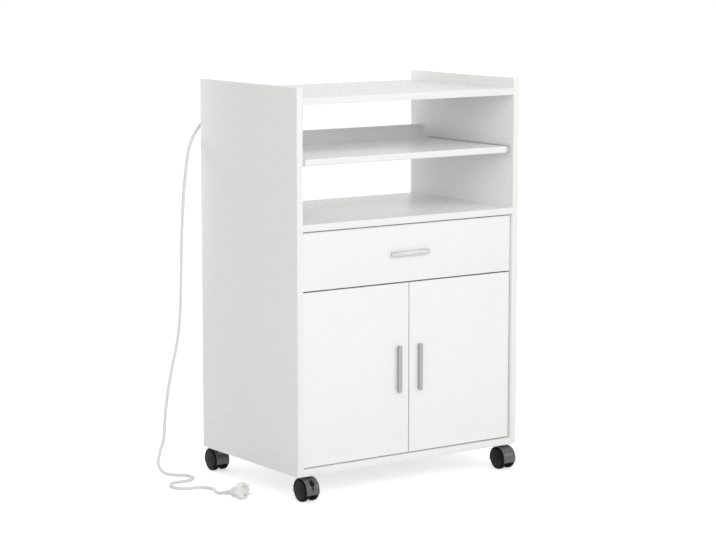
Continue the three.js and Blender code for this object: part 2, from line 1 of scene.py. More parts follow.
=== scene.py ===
# White microwave cart on twin-wheel casters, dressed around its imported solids.
# Metres. -Y is the front, +Z is up, and the floor is at z = 0.
import math

import bmesh
import bpy
from mathutils import Matrix, Vector


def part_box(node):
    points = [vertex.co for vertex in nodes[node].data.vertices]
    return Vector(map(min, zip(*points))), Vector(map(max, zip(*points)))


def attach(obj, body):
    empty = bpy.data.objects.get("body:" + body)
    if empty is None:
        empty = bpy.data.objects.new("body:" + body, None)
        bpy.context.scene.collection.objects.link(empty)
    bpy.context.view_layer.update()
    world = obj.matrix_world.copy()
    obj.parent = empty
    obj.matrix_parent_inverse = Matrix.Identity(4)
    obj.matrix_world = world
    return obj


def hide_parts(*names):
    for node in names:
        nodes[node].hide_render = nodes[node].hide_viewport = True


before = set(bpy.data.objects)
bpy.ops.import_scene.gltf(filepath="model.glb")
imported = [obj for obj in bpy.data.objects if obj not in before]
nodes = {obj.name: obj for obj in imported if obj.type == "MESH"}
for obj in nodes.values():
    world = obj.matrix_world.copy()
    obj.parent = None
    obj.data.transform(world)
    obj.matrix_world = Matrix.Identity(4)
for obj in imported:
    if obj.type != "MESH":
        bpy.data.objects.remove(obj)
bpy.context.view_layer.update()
sides = ("left", "right")
print("frame loaded:", len(nodes), "solids")

# Camera

camera = dict(
    place=(-2.9933, -4.2226, 1.203),
    turn=35.2808,  # degrees, from +Y towards +X
    pitch=8.1739,  # degrees below the horizon
    lens=116.25, sensor=36,  # millimetres
    near=0.1, far=40,
)


def addCamera():
    data = bpy.data.cameras.new("camera")
    data.sensor_width, data.lens = camera["sensor"], camera["lens"]
    data.clip_start, data.clip_end = camera["near"], camera["far"]
    eye = bpy.data.objects.new("camera", data)
    turn = Matrix.Rotation(math.radians(-camera["turn"]), 4, "Z")
    tilt = Matrix.Rotation(math.radians(90 - camera["pitch"]), 4, "X")
    eye.matrix_world = Matrix.Translation(camera["place"]) @ turn @ tilt
    bpy.context.scene.collection.objects.link(eye)
    bpy.context.scene.camera = eye


addCamera()
print("camera placed")

# Materials

noiseLow, noiseHigh = 0.3, 0.7  # nearly all of a noise texture's values lie between these


def linear(hexColour):
    # sRGB hex to the linear values that a shader socket takes
    parts = [int(hexColour[i:i + 2], 16) / 255 for i in (0, 2, 4)]
    curve = [c / 12.92 if c <= 0.04045 else ((c + 0.055) / 1.055) ** 2.4 for c in parts]
    return (*curve, 1)


def addNode(tree, kind, settings=(), links=()):
    node = tree.nodes.new("ShaderNode" + kind)
    for key, value in dict(settings).items():
        if isinstance(key, str) and hasattr(node, key):
            setattr(node, key, value)
        else:
            node.inputs[key].default_value = value
    for key, source in dict(links).items():
        tree.links.new(source, node.inputs[key])
    return node


def perMetre(millimetres):
    # Noise scale whose blotches are about this many millimetres across
    return 1000 / millimetres


def emptyTree(owner):
    owner.use_nodes = True
    owner.node_tree.nodes.clear()
    return owner.node_tree


def makeMaterial(name, finish):
    # The tone drifts over a coarse pattern; the gloss and the bump follow the fine one.
    material = bpy.data.materials.new(name)
    tree = emptyTree(material)
    place = addNode(tree, "TexCoord").outputs["Object"]
    grain = addNode(
        tree, "Mapping", {"Scale": finish.get("stretch", (1, 1, 1))}, {"Vector": place}
    ).outputs["Vector"]
    cloud = addNode(
        tree, "TexNoise", {"Scale": perMetre(finish["cloud"]), "Detail": 2.0}, {"Vector": place}
    ).outputs[0]
    fine = addNode(
        tree, "TexNoise",
        {"Scale": perMetre(finish["grain"]), "Detail": finish.get("detail", 3.0), "Roughness": 0.6},
        {"Vector": grain},
    ).outputs[0]
    tone = addNode(
        tree, "Mix",
        {"data_type": "RGBA", 6: linear(finish["dark"]), 7: linear(finish["light"])},
        {0: cloud},
    ).outputs[2]
    lowGloss, highGloss = finish["roughness"]
    gloss = addNode(
        tree, "MapRange",
        {"From Min": noiseLow, "From Max": noiseHigh, "To Min": lowGloss, "To Max": highGloss},
        {"Value": fine},
    ).outputs[0]
    bump = addNode(
        tree, "Bump",
        {"Strength": 1.0, "Distance": finish["height"] / 1000},
        {"Height": fine},
    ).outputs[0]
    links = {"Base Color": tone, "Roughness": gloss, "Normal": bump}
    if "tangent" in finish:
        along = dict(zip("XYZ", finish["tangent"]))
        links["Tangent"] = addNode(tree, "CombineXYZ", along).outputs[0]
    shader = addNode(
        tree, "BsdfPrincipled",
        {"Metallic": finish.get("metallic", 0.0), **finish.get("sockets", {})}, links,
    ).outputs[0]
    addNode(tree, "OutputMaterial", {}, {"Surface": shader})
    return material


# Sizes in millimetres: cloud is the slow drift of tone, grain the surface texture, and height its
# relief. dark and light are the two ends of the tone, and roughness those of the gloss.
finishes = dict(
    # melamine-faced chipboard, pressed against a satin plate: a soft even sheen with a faint
    # orange peel
    whiteMelamine=dict(
        dark="f4f4f3", light="f6f6f5", cloud=160, grain=2.2, height=0.0016,
        roughness=(0.25, 0.31), sockets={"IOR": 1.5},
    ),
    # ABS edge banding, glued on and scraped flush: a little smoother and cleaner than the faces
    whiteBanding=dict(
        dark="f1f1f0", light="f3f3f2", cloud=90, grain=1.2, height=0.003,
        roughness=(0.24, 0.3), sockets={"IOR": 1.53},
    ),
    # hardboard with a roller-coated face: felted fibres show through the thin matt paint
    paintedHardboard=dict(
        dark="ececea", light="f1f1ef", cloud=60, grain=3, stretch=(1, 1, 2.5), height=0.05,
        detail=5.0, roughness=(0.5, 0.66), sockets={"IOR": 1.48},
    ),
    # zinc-plated and passivated sheet: bluish grey with a soft mottled bloom
    zincSheet=dict(
        dark="b2b6b7", light="c6cacb", cloud=9, grain=1.6, height=0.006,
        roughness=(0.3, 0.46), metallic=1.0,
    ),
    # acetal end caps of the slides, smooth and a little waxy; their light grey is painted shade,
    # for the shade on the right cap
    capAcetalPaintedShade=dict(
        dark="cccccb", light="d2d2d0", cloud=6, grain=0.8, height=0.008,
        roughness=(0.3, 0.4), sockets={"IOR": 1.48},
    ),
    # injection-moulded black nylon with a fine spark-eroded texture and a satin sheen; the base is
    # lifted to greyish black as painted sheen
    mouldedNylonPaintedSheen=dict(
        dark="464648", light="4e4e50", cloud=12, grain=0.8, height=0.012,
        roughness=(0.24, 0.32), sockets={"IOR": 1.53, "Specular IOR Level": 0.75},
    ),
    # the wheel's moulded disc and the brake lever: deeper black, the same texture
    discNylon=dict(
        dark="0e0e0f", light="131314", cloud=8, grain=0.7, height=0.012,
        roughness=(0.36, 0.46), sockets={"IOR": 1.53, "Specular IOR Level": 0.12},
    ),
    # the ring that rolls, scuffed dull by the floor
    treadNylon=dict(
        dark="060607", light="0b0b0c", cloud=8, grain=0.6, height=0.03,
        roughness=(0.55, 0.7), sockets={"IOR": 1.5, "Specular IOR Level": 0.1},
    ),
    # extruded PVC sheath: smooth and slightly soft to the eye
    leadPvc=dict(
        dark="e6e6e5", light="ececea", cloud=40, grain=1.5, height=0.01,
        roughness=(0.4, 0.5), sockets={"IOR": 1.52},
    ),
    # moulded ABS housings: even semi-gloss with a very fine matt texture
    mouldedAbs=dict(
        dark="f0f0ee", light="f4f4f2", cloud=50, grain=0.9, height=0.012,
        roughness=(0.3, 0.38), sockets={"IOR": 1.53},
    ),
    # nickel-plated brass pins and earth clips: bright, with a trace of warmth
    platedPin=dict(
        dark="d2d0ca", light="dddbd5", cloud=6, grain=0.8, height=0.002,
        roughness=(0.16, 0.26), metallic=1.0,
    ),
    # plastic shutters behind the contact holes, dark grey: painted shade in the holes
    shutterPaintedShade=dict(
        dark="3a3a3a", light="424242", cloud=5, grain=0.8, height=0.01, roughness=(0.5, 0.6),
    ),
)
# aluminium bars brushed along their length, then clear anodised: fine streaks, and a sheen that
# spreads across the bar; the streaks are drawn a little coarser than real ones, so that they show
brushed = dict(cloud=30, grain=0.5, height=0.006, roughness=(0.28, 0.4), metallic=1.0,
               sockets={"Anisotropic": 0.7, "Anisotropic Rotation": 0.25})
finishes["brushedAlongX"] = dict(brushed, dark="c6c6c5", light="d0d0cf", stretch=(0.03, 1, 1),
                                 tangent=(1, 0, 0))
# the door handles' copy: the same metal, its base darker than the drawer handle's as painted shade
finishes["brushedAlongZPaintedShade"] = dict(brushed, dark="a4a4a3", light="aeaead", stretch=(1, 1, 0.03),
                                 tangent=(0, 0, 1))
looks = {name: makeMaterial(name, finish) for name, finish in finishes.items()}
print("materials made:", len(looks))

# Modelling

close = 1e-5  # points nearer to each other than this are at one place
rimTurn = 0.8  # radians: an edge that turns more than this is a rim
squareTurn = 1.0  # radians: only an edge near a right angle turns more than this
pole = dict(radius=1e-7, merge=1e-6)  # where a turned profile meets its axis


def bevelEdges(bm, edges, offset, segments):
    return bmesh.ops.bevel(bm, geom=list(edges), offset=offset, segments=segments,
                           affect="EDGES", profile=0.5, material=-1)


def turning(edges, angle):
    # The edges whose two faces meet at more than the angle
    return [e for e in edges if e.calc_face_angle(0) > angle]


def linkMesh(bm, name):
    mesh = bpy.data.meshes.new(name)
    bm.to_mesh(mesh)
    linked = bpy.data.objects.new(name, mesh)
    bpy.context.scene.collection.objects.link(linked)
    return linked


def joinInto(bm, part, place=None):
    # Moves what is in part to place, adds it to bm and frees part
    mesh = bpy.data.meshes.new("part")
    part.to_mesh(mesh)
    part.free()
    if place:
        mesh.transform(place)
    bm.from_mesh(mesh)
    bpy.data.meshes.remove(mesh)


def pointing(axis, at):
    # Turns +X to the axis and moves it there
    return Matrix.Translation(at) @ Vector((1, 0, 0)).rotation_difference(axis).to_matrix().to_4x4()


def addBlock(bm, low, high, edge=0.0):
    low, high = Vector(low), Vector(high)
    made = bmesh.ops.create_cube(bm, size=1)["verts"]
    size = high - low
    bmesh.ops.scale(bm, vec=size, verts=made)
    bmesh.ops.translate(bm, vec=(low + high) / 2, verts=made)
    faces = list({f for v in made for f in v.link_faces})
    if edge:
        result = bevelEdges(bm, {e for v in made for e in v.link_edges}, edge, 2)
        faces = list({f for v in result["verts"] for f in v.link_faces})
    return list({v for f in faces for v in f.verts})


def addTurned(bm, profile, steps, place=None):
    # profile is (distance along X, radius) from end to end; it is spun about the X axis
    verts = [bm.verts.new((x, 0, r)) for x, r in profile]
    edges = [bm.edges.new(pair) for pair in zip(verts, verts[1:])]
    before = set(bm.faces)
    bmesh.ops.spin(bm, geom=verts + edges, cent=(0, 0, 0), axis=(1, 0, 0), dvec=(0, 0, 0),
                   angle=math.tau, steps=steps, use_merge=True, use_duplicate=False)
    faces = [f for f in bm.faces if f not in before]
    made = list({v for f in faces for v in f.verts})
    poles = [v for v in made if math.hypot(v.co.y, v.co.z) < pole["radius"]]
    bmesh.ops.remove_doubles(bm, verts=poles, dist=pole["merge"])
    faces = [f for f in faces if f.is_valid]
    bmesh.ops.recalc_face_normals(bm, faces=faces)
    if place:
        made = list({v for f in faces for v in f.verts})
        bmesh.ops.transform(bm, matrix=place, verts=made)


def addArc(bm, low, high, fromAngle, toAngle, steps, edge=0.0):
    # A bar whose section goes from low to high in (x, radius), spun about X between two angles,
    # which are in degrees, up from -Y
    (x0, r0), (x1, r1) = low, high
    corners = [bm.verts.new((x, 0, r)) for x, r in ((x0, r0), (x1, r0), (x1, r1), (x0, r1))]
    face = bm.faces.new(corners)
    before = set(bm.faces) - {face}
    bmesh.ops.rotate(bm, cent=(0, 0, 0), verts=corners,
                     matrix=Matrix.Rotation(math.radians(90 - fromAngle), 3, "X"))
    bmesh.ops.spin(bm, geom=[face], cent=(0, 0, 0), axis=(1, 0, 0), dvec=(0, 0, 0),
                   angle=math.radians(fromAngle - toAngle), steps=steps, use_duplicate=False)
    faces = [f for f in bm.faces if f not in before]
    openEdges = [e for f in faces for e in f.edges if e.is_boundary]
    bmesh.ops.holes_fill(bm, edges=list(set(openEdges)))
    faces = [f for f in bm.faces if f not in before]
    bmesh.ops.recalc_face_normals(bm, faces=faces)
    if edge:
        bevelEdges(bm, turning({e for f in faces for e in f.edges}, rimTurn), edge, 2)


def carve(bm, cutter):
    # Cuts the cutter's closed shapes out of bm
    carved, tool = linkMesh(bm, "carved"), linkMesh(cutter, "cutter")
    cut = carved.modifiers.new("cut", "BOOLEAN")
    cut.operation, cut.solver, cut.object = "DIFFERENCE", "EXACT", tool
    depsgraph = bpy.context.evaluated_depsgraph_get()
    result = bpy.data.meshes.new_from_object(carved.evaluated_get(depsgraph))
    bm.clear()
    bm.from_mesh(result)
    cutter.free()
    for mesh in (result, carved.data, tool.data):  # this also removes the two objects
        bpy.data.meshes.remove(mesh)


def finishPiece(bm, name, body, materials, replaces=(), smooth=34):
    # Edges that turn by fewer degrees than smooth are shaded as round
    for face in bm.faces:
        face.smooth = True
    for edge in bm.edges:
        edge.smooth = edge.calc_face_angle(0) < math.radians(smooth)
    piece = linkMesh(bm, name)
    bm.free()
    for material in materials:
        piece.data.materials.append(looks[material])
    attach(piece, body)
    if replaces:
        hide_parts(*replaces)
    return piece


# Boards

boards = dict(
    edge=0.0005, thinEdge=0.0003,  # eased arris of the banded boards, and of the hardboard
    edgeSegments=3,
    flatWithin=1,  # degrees: the solids' triangles are joined into flat faces up to this turn
    faceOn=0.98,  # a face this square to the board's thin way is a main face, not an edge
    cart=("left_side_panel", "right_side_panel", "top_panel", "fixed_shelf", "bottom_panel",
          "back_rail"),
    drawer=("drawer_front", "drawer_side_left", "drawer_side_right", "drawer_back"),
)


def addBoard(node, body, edge, materials):
    bm = bmesh.new()
    bm.from_mesh(nodes[node].data)
    bmesh.ops.remove_doubles(bm, verts=bm.verts, dist=close)
    bmesh.ops.dissolve_limit(bm, angle_limit=math.radians(boards["flatWithin"]), verts=bm.verts,
                             edges=bm.edges)
    low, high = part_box(node)
    size = high - low
    thin = min(range(3), key=lambda i: size[i])
    outer = []
    for e in turning(bm.edges, squareTurn):
        onBox = sum(
            all(abs(v.co[i] - side[i]) < close for v in e.verts)
            for i in range(3) for side in (low, high)
        )
        if onBox >= 2:  # the edge runs along an edge of the board's box
            outer.append(e)
    bevelEdges(bm, outer, edge, boards["edgeSegments"])
    for face in bm.faces:
        flat = abs(face.normal[thin]) > boards["faceOn"]
        face.material_index = 0 if flat else len(materials) - 1
    return finishPiece(bm, node + "_board", body, materials, [node])


def addBoards():
    whites = ("whiteMelamine", "whiteBanding")
    for node in boards["cart"]:
        addBoard(node, "cart", boards["edge"], whites)
    for node in boards["drawer"]:
        addBoard(node, "drawer", boards["edge"], whites)
    for side in sides:
        addBoard(side + "_door", side + "_door", boards["edge"], whites)
    addBoard("pull_out_shelf", "pull_out_shelf", boards["edge"], whites)
    for node, body in (("back_panel", "cart"), ("drawer_bottom", "drawer")):
        addBoard(node, body, boards["thinEdge"], ("paintedHardboard",))


addBoards()
print("boards dressed")

# Handles

handle = dict(
    bar=0.004, crown=0.0029, crownSegments=8,  # the bar's thickness, and its rounded front
    edge=0.0009, edgeSegments=4,
    spacing=0.096, foot=0.003,  # between the feet's centres, and a foot's radius
    collar=0.0042, collarRise=0.0012, fillet=0.0003,  # the ring where a foot meets the board
    footSteps=32,
    screw=0.004, screwRise=0.0018,  # the heads inside the door or the drawer
)
screwHead = dict(
    # a raised head with a cross recess, in shares of its rise and of its radius
    profile=[(0, 0), (0, 1), (0.35, 1), (0.8, 0.72), (1, 0)], steps=24,
    crossFrom=0.3, crossTo=2,  # of the rise
    crossReach=0.55, crossHalf=0.13,  # of the radius
)


def addScrewHead(bm, place, radius, rise):
    # It stands along +X at place
    head = bmesh.new()
    addTurned(head, [(rise * a, radius * b) for a, b in screwHead["profile"]], screwHead["steps"])
    start, end = rise * screwHead["crossFrom"], rise * screwHead["crossTo"]
    reach, half = radius * screwHead["crossReach"], radius * screwHead["crossHalf"]
    for y, z in ((reach, half), (half, reach)):
        cross = bmesh.new()
        addBlock(cross, (start, -y, -z), (end, y, z))
        carve(head, cross)
    joinInto(bm, head, place)


def addHandle(node, body, along, finish):
    low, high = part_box(node)
    middle = (low + high) / 2
    front, back = low.y, high.y
    bm = bmesh.new()
    addBlock(bm, low, (high.x, front + handle["bar"], high.z))
    shoulders = [
        e for e in bm.edges
        if all(v.co.y < front + close for v in e.verts)
        and abs((e.verts[0].co - e.verts[1].co).dot(Vector(along))) > handle["spacing"] / 2
    ]
    bevelEdges(bm, shoulders, handle["crown"], handle["crownSegments"])
    bevelEdges(bm, turning(bm.edges, rimTurn), handle["edge"], handle["edgeSegments"])
    for end in (-0.5, 0.5):
        foot = middle + Vector(along) * handle["spacing"] * end
        foot.y = back
        r, c, h = handle["foot"], handle["collar"], handle["collarRise"]
        reach = back - front - handle["bar"] / 2
        addTurned(bm, [(0, 0), (0, c), (h * 0.6, c), (h, r + handle["fillet"]), (h * 1.4, r),
                       (reach, r), (reach, 0)],
                  handle["footSteps"], pointing(Vector((0, -1, 0)), foot))
    finishPiece(bm, node + "_bar", body, [finish], [node])
    bm = bmesh.new()  # the screws' heads, on the board's inner face
    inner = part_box(body if body != "drawer" else "drawer_front")[1].y
    for end in (-0.5, 0.5):
        foot = middle + Vector(along) * handle["spacing"] * end
        foot.y = inner
        addScrewHead(bm, pointing(Vector((0, 1, 0)), foot), handle["screw"], handle["screwRise"])
    finishPiece(bm, node + "_screws", body, ["zincSheet"])


addHandle("drawer_handle", "drawer", (1, 0, 0), "brushedAlongX")
for side in sides:
    # the door handles take the darker copy of the metal: painted shade
    addHandle(side + "_door_handle", side + "_door", (0, 0, 1), "brushedAlongZPaintedShade")
print("handles made")

# Casters: modelled about the swivel's axis, with the wheels towards -Y and the floor at z = 0

caster = dict(
    x=0.271, y=0.1665,  # the swivel's axis, from the cart's middle
    axleY=-0.016, axleZ=0.025,  # the axle's place, behind the swivel
    axle=0.003, axleOut=0.004, axleSteps=24,  # its radius, and how far it stands out of the web
    hood=0.0273, shell=0.0015, halfWidth=0.0165,  # radius, wall and half width
    hoodSteps=63, hoodEdge=0.0005,
    drop=0.008,  # how far the hood reaches below the axle
    window=(12, 22, 0.0054), slot=(7, 11, 0.00225),  # hood steps from and to, half width
    webHalf=0.0062, webSteps=72,
    pocket=(0.014, 0.03), pocketSteps=12, pocketGap=0.0004,  # cut in the web behind those two
    boss=0.011, bossEdge=0.0008, bossLow=0.04, bossTop=0.0536, bossSteps=40,
    bore=0.0043, boreDepth=0.004,  # in the boss, round the stud
    plate=0.02, plateLow=0.054, plateHigh=0.056,  # half width, and heights above the floor
    plateCorner=0.005, cornerSegments=6, plateEdge=0.0002,
    stud=0.004, studLow=0.041, studEdge=0.0005, studSteps=32,
    collar=((0, 0), (0, 0.0065), (0.0003, 0.0065)), collarDrop=0.0004,  # round the stud's root
    screwOut=0.014, screw=0.0036, screwRise=0.001,
)
lever = dict(
    # the brake's lever in the hood's window: its stem and its wider head, each with the inner
    # and the outer radius, the half width, the steps and the eased edge
    turn=(29, 51),  # degrees up from the front
    bars=((0.0165, 0.0272, 0.0036, 8, 0.0003), (0.0259, 0.0281, 0.005, 10, 0.0005)),
    ribs=3, ribFrom=6, ribPitch=5, ribWide=1.4,  # degrees, for the shoe's grip
    ribIn=0.001, ribSink=0.0002, ribRise=0.00015,
)
wheel = dict(
    # (distance from the inner face, radius): tread, rounded shoulders, a groove and a hub cap
    profile=[
        (0, 0), (0, 0.0222), (0.0004, 0.0234), (0.0012, 0.0244), (0.0022, 0.025),
        (0.0090, 0.025), (0.0099, 0.0247), (0.0107, 0.024), (0.0112, 0.023), (0.0114, 0.0221),
        (0.0112, 0.0217), (0.0104, 0.0214), (0.0104, 0.0207), (0.0111, 0.0204), (0.0115, 0.0196),
        (0.0114, 0.0088), (0.0109, 0.0083), (0.0109, 0.0077), (0.0113, 0.0073), (0.0115, 0.0064),
        (0.0115, 0),
    ],
    steps=72,
    inner=0.0065,  # the inner face, from the middle of the caster
    discFrom=0.0217,  # the disc's material starts at this radius
)


def hoodArc():
    # Degrees that the hood reaches below the axle at each end, and degrees in one of its steps
    low = math.degrees(math.asin(caster["drop"] / caster["hood"]))
    return low, (180 + 2 * low) / caster["hoodSteps"]


def addHoodShell(bm, braked):
    low, pitch = hoodArc()
    wide, windowHalf, slotHalf = caster["halfWidth"], caster["window"][2], caster["slot"][2]
    stops = (-wide, -windowHalf, -slotHalf, slotHalf, windowHalf, wide)
    line = [bm.verts.new((x, -caster["hood"], 0)) for x in stops]
    edges = [bm.edges.new(pair) for pair in zip(line, line[1:])]
    bmesh.ops.rotate(bm, cent=(0, 0, 0), verts=line,
                     matrix=Matrix.Rotation(math.radians(low), 3, "X"))
    bmesh.ops.spin(bm, geom=line + edges, cent=(0, 0, 0), axis=(1, 0, 0), dvec=(0, 0, 0),
                   angle=-math.radians(180 + 2 * low), steps=caster["hoodSteps"])
    if braked:  # the window that the lever works in, and the small slot under it
        gone = []
        for face in bm.faces:
            middle = face.calc_center_median()
            step = (math.degrees(math.atan2(middle.z, -middle.y)) + low) / pitch
            for first, last, half in (caster["window"], caster["slot"]):
                if first < step < last and abs(middle.x) < half:
                    gone.append(face)
        bmesh.ops.delete(bm, geom=gone, context="FACES")
    bmesh.ops.recalc_face_normals(bm, faces=bm.faces)
    outward = sum(f.normal.dot(Vector((0, f.calc_center_median().y, f.calc_center_median().z)))
                  for f in bm.faces)
    if outward < 0:
        bmesh.ops.reverse_faces(bm, faces=bm.faces)
    bmesh.ops.solidify(bm, geom=bm.faces[:], thickness=caster["shell"])
    bevelEdges(bm, turning(bm.edges, squareTurn), caster["hoodEdge"], 2)


def addWeb(bm, braked):
    # The half disc between the wheels, cut off below the axle, the boss that the stud turns in,
    # and the axle
    web = bmesh.new()
    half, radius = caster["webHalf"], caster["hood"] - caster["shell"] / 2
    addTurned(web, [(-half, 0), (-half, radius), (half, radius), (half, 0)], caster["webSteps"])
    cut = bmesh.ops.bisect_plane(web, geom=web.verts[:] + web.edges[:] + web.faces[:],
                                 plane_co=(0, 0, -caster["drop"]), plane_no=(0, 0, -1),
                                 clear_outer=True)["geom_cut"]
    bmesh.ops.holes_fill(web, edges=[e for e in cut if isinstance(e, bmesh.types.BMEdge)])
    if braked:
        low, pitch = hoodArc()
        inner, outer = caster["pocket"]
        for (first, last, _), wide in (
            (caster["window"], lever["bars"][0][2] + caster["pocketGap"]),
            (caster["slot"], caster["slot"][2]),
        ):
            pocket = bmesh.new()
            addArc(pocket, (-wide, inner), (wide, outer), first * pitch - low, last * pitch - low,
                   caster["pocketSteps"])
            carve(web, pocket)
    joinInto(bm, web)
    r, bore, edge = caster["boss"], caster["bore"], caster["bossEdge"]
    base = Vector((0, -caster["axleY"], caster["bossLow"] - caster["axleZ"]))
    top = caster["bossTop"] - caster["bossLow"]
    bottom = top - caster["boreDepth"]
    addTurned(bm, [(0, 0), (0, r), (top - edge, r), (top, r - edge), (top, bore), (bottom, bore),
                   (bottom, 0)], caster["bossSteps"], pointing(Vector((0, 0, 1)), base))
    end = caster["webHalf"] + caster["axleOut"]
    addTurned(bm, [(-end, 0), (-end, caster["axle"]), (end, caster["axle"]), (end, 0)],
              caster["axleSteps"])


def addLever(bm):
    low, high = lever["turn"]
    for inner, outer, half, steps, edge in lever["bars"]:
        addArc(bm, (-half, inner), (half, outer), low, high, steps, edge)
    half -= lever["ribIn"]  # the ribs stand on the head
    for k in range(lever["ribs"]):
        angle = low + lever["ribFrom"] + lever["ribPitch"] * k
        addArc(bm, (-half, outer - lever["ribSink"]), (half, outer + lever["ribRise"]), angle,
               angle + lever["ribWide"], 2)


def addPlate(name, place):
    # The top plate with its stud and four screws
    bm = bmesh.new()
    s, low = caster["plate"], caster["plateLow"]
    addBlock(bm, (-s, -s, low), (s, s, caster["plateHigh"]))
    upright = [e for e in bm.edges if abs(e.verts[0].co.z - e.verts[1].co.z) > close]
    bevelEdges(bm, upright, caster["plateCorner"], caster["cornerSegments"])
    bevelEdges(bm, turning(bm.edges, squareTurn), caster["plateEdge"], 1)
    r, edge, depth = caster["stud"], caster["studEdge"], low - caster["studLow"]
    down = Vector((0, 0, -1))
    addTurned(bm, [*caster["collar"], (caster["collarDrop"], r), (depth - edge, r),
                   (depth, r - edge), (depth, 0)],
              caster["studSteps"], pointing(down, (0, 0, low)))
    for dx in (-1, 1):
        for dy in (-1, 1):
            at = (dx * caster["screwOut"], dy * caster["screwOut"], low)
            addScrewHead(bm, pointing(down, at), caster["screw"], caster["screwRise"])
    bm.transform(place)
    finishPiece(bm, name + "_plate", "cart", ["zincSheet"],
                [name + "_caster_plate"])


def addCaster(name, x, y, turn, braked):
    place = Matrix.Translation((x, y, 0)) @ Matrix.Rotation(turn, 4, "Z")
    axle = place @ Matrix.Translation((0, caster["axleY"], caster["axleZ"]))
    bm = bmesh.new()
    addHoodShell(bm, braked)
    addWeb(bm, braked)
    bm.transform(axle)
    # the hood's greyish base is painted sheen on black plastic
    finishPiece(bm, name + "_hood", name + "_caster", ["mouldedNylonPaintedSheen"],
                [name + "_caster_hood"])
    if braked:
        bm = bmesh.new()
        addLever(bm)
        bm.transform(axle)
        finishPiece(bm, name + "_brake", name + "_brake", ["discNylon"],
                    [name + "_brake_lever"])
    for side, flip in (("right", 1), ("left", -1)):
        bm = bmesh.new()
        profile = [(flip * (wheel["inner"] + out), r) for out, r in wheel["profile"]]
        addTurned(bm, profile, wheel["steps"])
        for face in bm.faces:
            reach = max(math.hypot(v.co.y, v.co.z) for v in face.verts)
            face.material_index = 1 if reach < wheel["discFrom"] + close else 0
        bm.transform(axle)
        finishPiece(bm, f"{name}_disc_{side}", f"{name}_wheel_{side}",
                    ["treadNylon", "discNylon"], [f"{name}_wheel_{side}"], smooth=30)
    addPlate(name, place)


for end, along in (("front", -1), ("rear", 1)):  # the rear pair faces backwards
    for side, across in (("left", -1), ("right", 1)):
        name = f"{end}_{side}"
        addCaster(name, across * caster["x"], along * caster["y"], 0 if along < 0 else math.pi,
                  name in ("front_left", "rear_right"))
print("casters made")

# Runners, slides and hinges keep their solids; the hinges' screws and the slides' caps are added

hinge = dict(
    levels=(0.1635, 0.364),  # heights of the lower and the upper hinges
    screw=0.0036, rise=0.0011,
    cupX=0.2595, flange=-0.1703, screwUp=0.0215,  # two screws to a cup, above and below it
    armX=0.2785, armScrews=(-0.134, -0.108),  # two screws to an arm, at these depths
)


def dressSteelwork():
    for name in nodes:
        if any(kind in name for kind in ("runner", "slide", "hinge")):
            for materialSlot in nodes[name].material_slots:
                materialSlot.material = looks["zincSheet"]


def addHingeScrews():
    size = hinge["screw"], hinge["rise"]
    for side, across in (("left", -1), ("right", 1)):
        bm = bmesh.new()
        for level in hinge["levels"]:
            for up in (-1, 1):
                at = (across * hinge["cupX"], hinge["flange"], level + up * hinge["screwUp"])
                addScrewHead(bm, pointing(Vector((0, 1, 0)), at), *size)
        finishPiece(bm, side + "_cup_screws", side + "_door", ["zincSheet"])
        bm = bmesh.new()
        for level in hinge["levels"]:
            for y in hinge["armScrews"]:
                at = (across * hinge["armX"], y, level)
                addScrewHead(bm, pointing(Vector((-across, 0, 0)), at), *size)
        finishPiece(bm, side + "_arm_screws", "cart", ["zincSheet"])


dressSteelwork()
addHingeScrews()

cap = dict(  # the right one, on the front end of the pull-out shelf's slide
    low=(0.2721, -0.1833, 0.7238), high=(0.2808, -0.1787, 0.7402),
    round=0.0066, roundSegments=8, edge=0.0009, edgeSegments=3,
)


def addCaps():
    bm = bmesh.new()
    addBlock(bm, cap["low"], cap["high"])
    outer = [e for e in bm.edges if all(v.co.x > cap["high"][0] - close for v in e.verts)
             and abs(e.verts[0].co.y - e.verts[1].co.y) > close]
    bevelEdges(bm, outer, cap["round"], cap["roundSegments"])
    bevelEdges(bm, turning(bm.edges, rimTurn), cap["edge"], cap["edgeSegments"])
    # and the left one
    bmesh.ops.mirror(bm, geom=bm.verts[:] + bm.edges[:] + bm.faces[:], axis="X", merge_dist=-1)
    bmesh.ops.recalc_face_normals(bm, faces=bm.faces)
    # the caps' light grey is painted shade
    finishPiece(bm, "shelf_slide_caps", "pull_out_shelf", ["capAcetalPaintedShade"])


addCaps()
print("runners and hinges dressed")

# Socket strip, on the left side's inner face: +X is out of the sockets

strip = dict(
    corner=0.009, cornerSegments=8, lip=0.0022, lipSegments=4, seam=0.0005,
    pitch=0.084, depth=0.0175,  # between the sockets' middles, and down to a well's floor
    contactUp=0.0095,  # a contact's distance from its socket's middle
    # (distance out of the cover, radius) of a socket's well; the two below count from its floor
    well=[(-0.0175, 0), (-0.0175, 0.01875), (-0.0165, 0.01975), (-0.0012, 0.01975),
          (0.0004, 0.02115), (0.0004, 0)],
    hole=[(-0.006, 0), (-0.006, 0.00275), (-0.0004, 0.00275), (0.0002, 0.00335), (0.0002, 0)],
    shutter=[(-0.0062, 0), (-0.0062, 0.00275), (-0.005, 0.00275), (-0.005, 0)],
    wellSteps=64, holeSteps=32, shutterSteps=24,
    # an earth clip is a strip of metal up the well's side, with a pressed bead near its end
    clipOut=0.01855, clipRoot=0.001, clipLength=0.0125, clipHalf=0.0019, clipThick=0.0008,
    bead=(0.009, 0.012, 0.0007), clipEdge=0.0003,  # the bead's start, end and rise
    screw=0.003, screwRise=0.001, screwSink=0.0006,
    gland=[(0, 0), (0, 0.006), (0.004, 0.006), (0.0044, 0.0052), (0.006, 0.0056), (0.0075, 0.0056),
           (0.008, 0.0048), (0.0095, 0.0052), (0.011, 0.0052), (0.0115, 0.0045), (0.013, 0.0048),
           (0.0145, 0.0048), (0.015, 0.0042), (0.0165, 0.0044), (0.0215, 0.0042), (0.022, 0.0037),
           (0.022, 0)],
    glandSteps=40,
)


